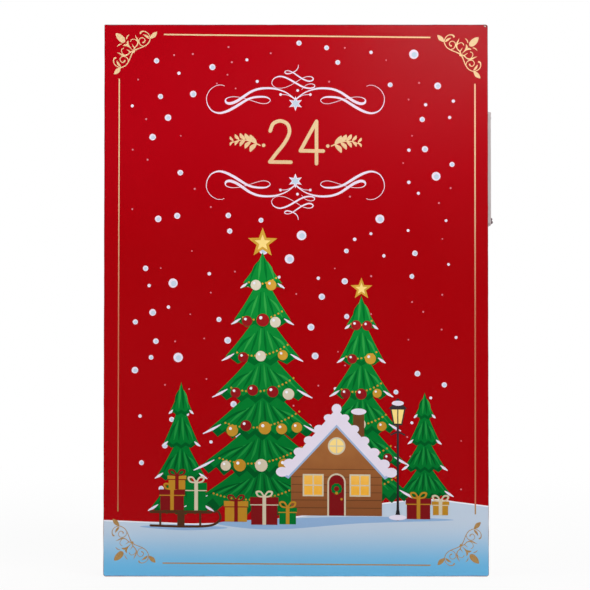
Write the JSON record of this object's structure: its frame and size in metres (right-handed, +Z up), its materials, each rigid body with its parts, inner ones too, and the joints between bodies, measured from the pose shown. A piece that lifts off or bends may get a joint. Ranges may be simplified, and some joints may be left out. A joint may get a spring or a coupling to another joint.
{
  "type": "light-up wooden advent calendar",
  "caption": "Book-shaped wooden box whose printed cover swings open on small drawers and a lit cut-out winter scene, with a battery compartment and switch in one side.",
  "frame": {"origin": "on the case's flat underside, below the middle of the cover's width and half way through the depth of the case's boards", "axes": "+Z up along the cover's height, the printed cover faces -Y, +X to the right as seen from the front, towards the battery compartment"},
  "size_m": [0.2863, 0.0614, 0.4025],
  "materials": {
    "cover_print": "printed and varnished",
    "red_paint": "satin red paint",
    "bare_board": "bare hardboard",
    "plywood": "bare plywood",
    "drawer_paint": "satin paint over plywood",
    "sky_paint": "matt dark blue paint",
    "village_paint": "matt paint",
    "forest_paint": "matt paint",
    "brass": "stamped, satin",
    "steel": "satin",
    "pale_plastic": "moulded, satin",
    "dark_plastic": "moulded, satin",
    "lamp_plastic": "clear lamps on a thin lead",
    "cell_skin": "plain sleeve"
  },
  "bodies": {
    "case": {"back_panel": "bare_board", "battery_cell_1": "cell_skin", "battery_cell_2": "cell_skin", "battery_contact_bridge": "steel", "battery_tray": "pale_plastic", "case_bottom": "red_paint", "case_left_side": "red_paint", "case_magnet": "steel", "case_right_side": "red_paint", "case_top": "red_paint", "hinge_lower_case_leaf": "brass", "hinge_lower_pin": "brass", "hinge_upper_case_leaf": "brass", "hinge_upper_pin": "brass", "led_string": "lamp_plastic", "middle_shelf": "plywood", "rack_divider_1": "plywood", "rack_divider_2": "plywood", "rack_divider_3": "plywood", "rack_divider_4": "plywood", "rack_divider_5": "plywood", "rack_shelf_1": "plywood", "rack_shelf_2": "plywood", "rack_shelf_3": "plywood", "scene_backdrop": "sky_paint", "scene_forest": "forest_paint", "scene_frame": "red_paint", "scene_village": "village_paint", "switch_body": "dark_plastic"},
    "cover": {"front_cover": "red_paint", "cover_print": "cover_print", "cover_magnet": "steel", "hinge_upper_cover_leaf": "brass", "hinge_lower_cover_leaf": "brass"},
    "drawer_01": {"drawer_01": "drawer_paint"},
    "drawer_02": {"drawer_02": "drawer_paint"},
    "drawer_03": {"drawer_03": "drawer_paint"},
    "drawer_04": {"drawer_04": "drawer_paint"},
    "drawer_05": {"drawer_05": "drawer_paint"},
    "drawer_06": {"drawer_06": "drawer_paint"},
    "drawer_07": {"drawer_07": "drawer_paint"},
    "drawer_08": {"drawer_08": "drawer_paint"},
    "drawer_09": {"drawer_09": "drawer_paint"},
    "drawer_10": {"drawer_10": "drawer_paint"},
    "drawer_11": {"drawer_11": "drawer_paint"},
    "drawer_12": {"drawer_12": "drawer_paint"},
    "drawer_13": {"drawer_13": "drawer_paint"},
    "drawer_14": {"drawer_14": "drawer_paint"},
    "drawer_15": {"drawer_15": "drawer_paint"},
    "drawer_16": {"drawer_16": "drawer_paint"},
    "drawer_17": {"drawer_17": "drawer_paint"},
    "drawer_18": {"drawer_18": "drawer_paint"},
    "drawer_19": {"drawer_19": "drawer_paint"},
    "drawer_20": {"drawer_20": "drawer_paint"},
    "drawer_21": {"drawer_21": "drawer_paint"},
    "drawer_22": {"drawer_22": "drawer_paint"},
    "drawer_23": {"drawer_23": "drawer_paint"},
    "drawer_24": {"drawer_24": "drawer_paint"},
    "battery_door": {"battery_door": "pale_plastic"},
    "switch_knob": {"switch_knob": "dark_plastic"}
  },
  "joints": [
    {"name": "cover_hinge", "type": "hinge", "parent": "case", "child": "cover", "pos_m": [-0.1378, -0.0246, 0.2015], "axis": [0, 0, -1], "range_deg": [0, 160]},
    {"name": "drawer_01_slide", "type": "slide", "parent": "case", "child": "drawer_01", "axis": [0, -1, 0], "range_m": [0, 0.032]},
    {"name": "drawer_02_slide", "type": "slide", "parent": "case", "child": "drawer_02", "axis": [0, -1, 0], "range_m": [0, 0.032]},
    {"name": "drawer_03_slide", "type": "slide", "parent": "case", "child": "drawer_03", "axis": [0, -1, 0], "range_m": [0, 0.032]},
    {"name": "drawer_04_slide", "type": "slide", "parent": "case", "child": "drawer_04", "axis": [0, -1, 0], "range_m": [0, 0.032]},
    {"name": "drawer_05_slide", "type": "slide", "parent": "case", "child": "drawer_05", "axis": [0, -1, 0], "range_m": [0, 0.032]},
    {"name": "drawer_06_slide", "type": "slide", "parent": "case", "child": "drawer_06", "axis": [0, -1, 0], "range_m": [0, 0.032]},
    {"name": "drawer_07_slide", "type": "slide", "parent": "case", "child": "drawer_07", "axis": [0, -1, 0], "range_m": [0, 0.032]},
    {"name": "drawer_08_slide", "type": "slide", "parent": "case", "child": "drawer_08", "axis": [0, -1, 0], "range_m": [0, 0.032]},
    {"name": "drawer_09_slide", "type": "slide", "parent": "case", "child": "drawer_09", "axis": [0, -1, 0], "range_m": [0, 0.032]},
    {"name": "drawer_10_slide", "type": "slide", "parent": "case", "child": "drawer_10", "axis": [0, -1, 0], "range_m": [0, 0.032]},
    {"name": "drawer_11_slide", "type": "slide", "parent": "case", "child": "drawer_11", "axis": [0, -1, 0], "range_m": [0, 0.032]},
    {"name": "drawer_12_slide", "type": "slide", "parent": "case", "child": "drawer_12", "axis": [0, -1, 0], "range_m": [0, 0.032]},
    {"name": "drawer_13_slide", "type": "slide", "parent": "case", "child": "drawer_13", "axis": [0, -1, 0], "range_m": [0, 0.032]},
    {"name": "drawer_14_slide", "type": "slide", "parent": "case", "child": "drawer_14", "axis": [0, -1, 0], "range_m": [0, 0.032]},
    {"name": "drawer_15_slide", "type": "slide", "parent": "case", "child": "drawer_15", "axis": [0, -1, 0], "range_m": [0, 0.032]},
    {"name": "drawer_16_slide", "type": "slide", "parent": "case", "child": "drawer_16", "axis": [0, -1, 0], "range_m": [0, 0.032]},
    {"name": "drawer_17_slide", "type": "slide", "parent": "case", "child": "drawer_17", "axis": [0, -1, 0], "range_m": [0, 0.032]},
    {"name": "drawer_18_slide", "type": "slide", "parent": "case", "child": "drawer_18", "axis": [0, -1, 0], "range_m": [0, 0.032]},
    {"name": "drawer_19_slide", "type": "slide", "parent": "case", "child": "drawer_19", "axis": [0, -1, 0], "range_m": [0, 0.032]},
    {"name": "drawer_20_slide", "type": "slide", "parent": "case", "child": "drawer_20", "axis": [0, -1, 0], "range_m": [0, 0.032]},
    {"name": "drawer_21_slide", "type": "slide", "parent": "case", "child": "drawer_21", "axis": [0, -1, 0], "range_m": [0, 0.032]},
    {"name": "drawer_22_slide", "type": "slide", "parent": "case", "child": "drawer_22", "axis": [0, -1, 0], "range_m": [0, 0.032]},
    {"name": "drawer_23_slide", "type": "slide", "parent": "case", "child": "drawer_23", "axis": [0, -1, 0], "range_m": [0, 0.032]},
    {"name": "drawer_24_slide", "type": "slide", "parent": "case", "child": "drawer_24", "axis": [0, -1, 0], "range_m": [0, 0.032]},
    {"name": "battery_door_pull", "type": "slide", "parent": "case", "child": "battery_door", "axis": [1, 0, 0], "range_m": [0, 0.02]},
    {"name": "switch_slide", "type": "slide", "parent": "case", "child": "switch_knob", "axis": [0, 0, 1], "range_m": [0, 0.0025]}
  ],
  "couplings": [
    {"joint": "drawer_01_slide", "follows": "cover_hinge", "m_per_rad": 0.0114},
    {"joint": "drawer_02_slide", "follows": "cover_hinge", "m_per_rad": 0.0114},
    {"joint": "drawer_03_slide", "follows": "cover_hinge", "m_per_rad": 0.0114},
    {"joint": "drawer_04_slide", "follows": "cover_hinge", "m_per_rad": 0.0114},
    {"joint": "drawer_05_slide", "follows": "cover_hinge", "m_per_rad": 0.0114},
    {"joint": "drawer_06_slide", "follows": "cover_hinge", "m_per_rad": 0.0114},
    {"joint": "drawer_07_slide", "follows": "cover_hinge", "m_per_rad": 0.0114},
    {"joint": "drawer_08_slide", "follows": "cover_hinge", "m_per_rad": 0.0114},
    {"joint": "drawer_09_slide", "follows": "cover_hinge", "m_per_rad": 0.0114},
    {"joint": "drawer_10_slide", "follows": "cover_hinge", "m_per_rad": 0.0114},
    {"joint": "drawer_11_slide", "follows": "cover_hinge", "m_per_rad": 0.0114},
    {"joint": "drawer_12_slide", "follows": "cover_hinge", "m_per_rad": 0.0114},
    {"joint": "drawer_13_slide", "follows": "cover_hinge", "m_per_rad": 0.0114},
    {"joint": "drawer_14_slide", "follows": "cover_hinge", "m_per_rad": 0.0114},
    {"joint": "drawer_15_slide", "follows": "cover_hinge", "m_per_rad": 0.0114},
    {"joint": "drawer_16_slide", "follows": "cover_hinge", "m_per_rad": 0.0114},
    {"joint": "drawer_17_slide", "follows": "cover_hinge", "m_per_rad": 0.0114},
    {"joint": "drawer_18_slide", "follows": "cover_hinge", "m_per_rad": 0.0114},
    {"joint": "drawer_19_slide", "follows": "cover_hinge", "m_per_rad": 0.0114},
    {"joint": "drawer_20_slide", "follows": "cover_hinge", "m_per_rad": 0.0114},
    {"joint": "drawer_21_slide", "follows": "cover_hinge", "m_per_rad": 0.0114},
    {"joint": "drawer_22_slide", "follows": "cover_hinge", "m_per_rad": 0.0114},
    {"joint": "drawer_23_slide", "follows": "cover_hinge", "m_per_rad": 0.0114},
    {"joint": "drawer_24_slide", "follows": "cover_hinge", "m_per_rad": 0.0114}
  ]
}
